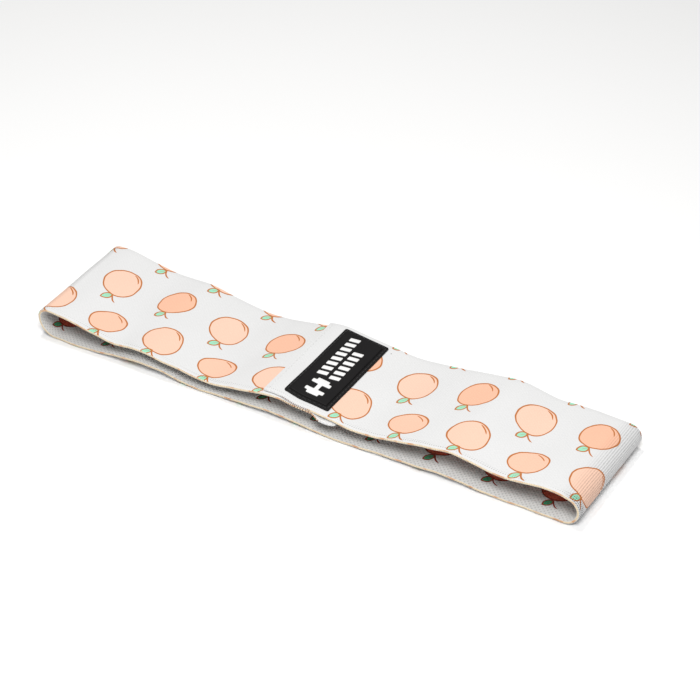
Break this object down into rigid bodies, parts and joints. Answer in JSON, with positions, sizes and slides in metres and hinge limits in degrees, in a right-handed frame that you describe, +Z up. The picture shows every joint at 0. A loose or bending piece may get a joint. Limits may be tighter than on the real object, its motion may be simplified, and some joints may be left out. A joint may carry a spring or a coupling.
{
  "type": "fabric resistance band",
  "caption": "Wide loop of printed elastic webbing, laid flat, with a lapped seam under a sewn rubber label. Stretches lengthwise and springs back.",
  "frame": {"origin": "on the floor under the middle of the flat-laid band", "axes": "+X along the band from its left fold to its right fold, +Y across the webbing, +Z up"},
  "size_m": [0.3626, 0.08, 0.0196],
  "materials": {
    "printed_face": "woven polyester, matt, with a peach print",
    "inner_face": "ribbed woven polyester, matt",
    "rubber_core": "natural latex",
    "edge_cord": "woven selvedge, matt",
    "seam_thread": "polyester sewing thread",
    "label_rubber": "soft moulded, matt",
    "label_white": "soft moulded, satin",
    "label_thread": "polyester sewing thread"
  },
  "bodies": {
    "lap_seam": {"tail_outer_weave": "printed_face", "tail_inner_weave": "inner_face", "tail_rubber_threads": "rubber_core", "tail_front_edge_cord": "edge_cord", "tail_back_edge_cord": "edge_cord", "flap_outer_weave": "printed_face", "flap_inner_weave": "inner_face", "flap_rubber_threads": "rubber_core", "flap_front_edge_cord": "edge_cord", "flap_back_edge_cord": "edge_cord", "seam_needle_thread": "seam_thread", "seam_bobbin_thread": "seam_thread", "label_base": "label_rubber", "label_dumbbell_mark": "label_white", "label_stripe_marks": "label_white", "label_needle_thread": "label_thread", "label_bobbin_thread": "label_thread"},
    "left_half": {"left_outer_weave": "printed_face", "left_inner_weave": "inner_face", "left_rubber_threads": "rubber_core", "left_front_edge_cord": "edge_cord", "left_back_edge_cord": "edge_cord"},
    "right_half": {"right_outer_weave": "printed_face", "right_inner_weave": "inner_face", "right_rubber_threads": "rubber_core", "right_front_edge_cord": "edge_cord", "right_back_edge_cord": "edge_cord"}
  },
  "joints": [
    {"name": "left_stretch", "type": "slide", "parent": "lap_seam", "child": "left_half", "axis": [-1, 0, 0], "range_m": [0, 0.1], "stiffness_N_per_m": 800, "deforming": ["left_outer_weave", "left_inner_weave", "left_rubber_threads", "left_front_edge_cord", "left_back_edge_cord"]},
    {"name": "right_stretch", "type": "slide", "parent": "lap_seam", "child": "right_half", "axis": [1, 0, 0], "range_m": [0, 0.1], "stiffness_N_per_m": 800, "deforming": ["right_outer_weave", "right_inner_weave", "right_rubber_threads", "right_front_edge_cord", "right_back_edge_cord"]}
  ],
  "couplings": [
    {"joint": "right_stretch", "follows": "left_stretch", "ratio": 1}
  ]
}
